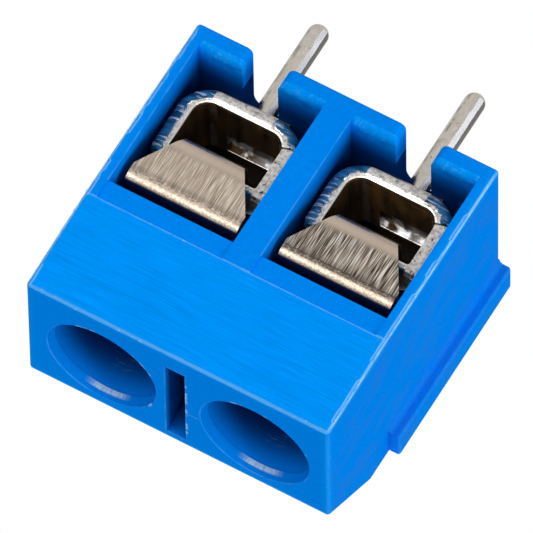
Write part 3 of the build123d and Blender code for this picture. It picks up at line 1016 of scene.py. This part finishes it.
class TERMINAL_OT_screws(bpy.types.Operator):
    """Build the clamping screws with their threads"""
    bl_idname = "terminal.screws"
    bl_label = "Build Clamping Screws"

    def execute(self, context):
        shape = context.scene.terminal_screw
        material = screw_material(context.scene.terminal_metal)
        group, identifiers = thread_tree()
        thread_low, thread_high = SCREW_TIP + THREAD_MARGIN, HEAD_BOTTOM - THREAD_MARGIN
        core = shape.thread_radius / MM - THREAD_DEPTH * shape.ridge_radius / MM
        turns = (thread_high - thread_low) * MM / shape.thread_pitch
        for pole in POLES:
            x = (2 * pole - 3) * POLE_OFFSET
            thread = grown_mesh(
                group, identifiers,
                {
                    "Turns": turns, "Pitch": shape.thread_pitch, "Outer Radius": shape.thread_radius,
                    "Ridge Radius": shape.ridge_radius, "Steps": shape.steps,
                    "Place": [x * MM, WELL_Y * MM, thread_low * MM], "Material": material})
            shank = lathe(
                (
                    (0, SCREW_TIP), (core - SHANK_CHAMFER, SCREW_TIP), (core, SCREW_TIP + SHANK_CHAMFER),
                    (core, HEAD_BOTTOM - SHANK_FILLET), (core + SHANK_FILLET, HEAD_BOTTOM + JOINT),
                    (0, HEAD_BOTTOM + JOINT)),
                x, WELL_Y)
            head = copy_above(f"clamp_screw_{pole}", HEAD_BOTTOM - SPLIT)
            piece = new_piece(f"threaded_screw_{pole}", (shank, thread, head), material)
            for face in piece.data.polygons:
                face.use_smooth = True
            piece.data.set_sharp_from_angle(angle=SHARP_ANGLE)
            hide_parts(f"clamp_screw_{pole}")
            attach(piece, f"screw_{pole}")
        return {"FINISHED"}


# Stage

def backdrop_material(sheen):
    """Pale floor that shows white to the camera and a little darker in reflections."""
    material = bpy.data.materials.new("Pale Floor")
    tree = bare_tree(material)
    output = tree.node("ShaderNodeOutputMaterial")
    paint = tree.node("ShaderNodeBsdfDiffuse", {"Color": FLOOR_PAINT})
    rays = tree.node("ShaderNodeLightPath").outputs
    reflected = most(rays["Is Glossy Ray"], rays["Is Transmission Ray"])
    strength = scaled(reflected, sheen - 1.0, 1.0)
    glow = tree.node("ShaderNodeEmission", {"Color": WHITE, "Strength": strength})
    mix = tree.node("ShaderNodeMixShader", {"Fac": most(rays["Is Camera Ray"], reflected)})
    put(mix.inputs[1], paint.outputs[0])
    put(mix.inputs[2], glow.outputs[0])
    put(output.inputs["Surface"], mix.outputs[0])
    return material


def world_light(fill):
    """Even light of a given strength that shows white to the camera and in reflections."""
    world = bpy.data.worlds.new("Soft Studio")
    tree = bare_tree(world)
    rays = tree.node("ShaderNodeLightPath").outputs
    seen = most(rays["Is Camera Ray"], rays["Is Glossy Ray"], rays["Is Transmission Ray"])
    strength = scaled(seen, 1.0 - fill, fill)
    background = tree.node("ShaderNodeBackground", {"Color": WHITE, "Strength": strength})
    output = tree.node("ShaderNodeOutputWorld")
    put(output.inputs["Surface"], background.outputs[0])
    bpy.context.scene.world = world


def lamp(name, place, width, power):
    """A square soft lamp that looks at the block; place and width in millimetres."""
    light = bpy.data.lights.new(name, "AREA")
    light.shape = "SQUARE"
    light.size = width * MM
    light.energy = power
    stand = placed(name, light)
    stand.location = Vector(place) * MM
    stand.rotation_euler = (LAMP_TARGET - Vector(place)).to_track_quat("-Z", "Y").to_euler()


def camera():
    """Long lens at the photograph's viewing angle, turned almost upside down."""
    lens = bpy.data.cameras.new("Camera")
    lens.lens = FOCAL_LENGTH
    lens.sensor_width = SENSOR_WIDTH
    lens.clip_start = 0.01
    lens.clip_end = 10.0
    view = placed("Camera", lens)
    turn = Matrix(CAMERA_AXES).transposed().to_4x4()
    view.matrix_world = Matrix.Translation(Vector(CAMERA_PLACE) * MM) @ turn
    bpy.context.scene.camera = view


class TERMINAL_OT_stage(bpy.types.Operator):
    """Set up the floor, the lamps and the camera"""
    bl_idname = "terminal.stage"
    bl_label = "Set Up Stage"

    def execute(self, context):
        look = context.scene.terminal_stage
        level = solid_box[0][2]
        mesh = bpy.data.meshes.new("floor")
        corners = ((-1, -1), (1, -1), (1, 1), (-1, 1))
        mesh.from_pydata([(x * FLOOR_HALF, y * FLOOR_HALF, level) for x, y in corners], [], [(0, 1, 2, 3)])
        mesh.materials.append(backdrop_material(look.floor_sheen))
        floor = placed("floor", mesh)
        world_light(look.fill)
        lamp("key_lamp", (130, -480, 80), 460, look.key_power)
        lamp("top_lamp", (0, 200, 450), 260, look.top_power)
        lamp("side_lamp", (-450, -150, 60), 260, look.side_power)
        camera()
        context.scene.view_settings.view_transform = "Standard"
        return {"FINISHED"}


class TERMINAL_PT_panel(bpy.types.Panel):
    """Lists the steps that dress the terminal block"""
    bl_idname = "TERMINAL_PT_panel"
    bl_label = "Terminal Block"
    bl_space_type = "VIEW_3D"
    bl_region_type = "UI"
    bl_category = "Terminal Block"

    def draw(self, context):
        for name in GROUPS:
            box = self.layout.box()
            owner = getattr(context.scene, name)
            for setting in owner.__annotations__:
                box.prop(owner, setting)
        for step in STEPS:
            self.layout.operator(step.bl_idname)


STEPS = (
    TERMINAL_OT_housing, TERMINAL_OT_mould_lines, TERMINAL_OT_strips, TERMINAL_OT_cages, TERMINAL_OT_pins,
    TERMINAL_OT_screws, TERMINAL_OT_stage)
GROUPS = {
    "terminal_housing": HousingLook, "terminal_metal": MetalLook, "terminal_screw": ScrewShape,
    "terminal_stage": StageLook}
CLASSES = (*GROUPS.values(), *STEPS, TERMINAL_PT_panel)


def register():
    for item in CLASSES:
        bpy.utils.register_class(item)
    for name, group in GROUPS.items():
        setattr(bpy.types.Scene, name, PointerProperty(type=group))


def unregister():
    for name in GROUPS:
        delattr(bpy.types.Scene, name)
    for item in reversed(CLASSES):
        bpy.utils.unregister_class(item)


def main():
    register()
    for step in STEPS:
        area, action = step.bl_idname.split(".")
        getattr(getattr(bpy.ops, area), action)()


if __name__ == "__main__":
    main()
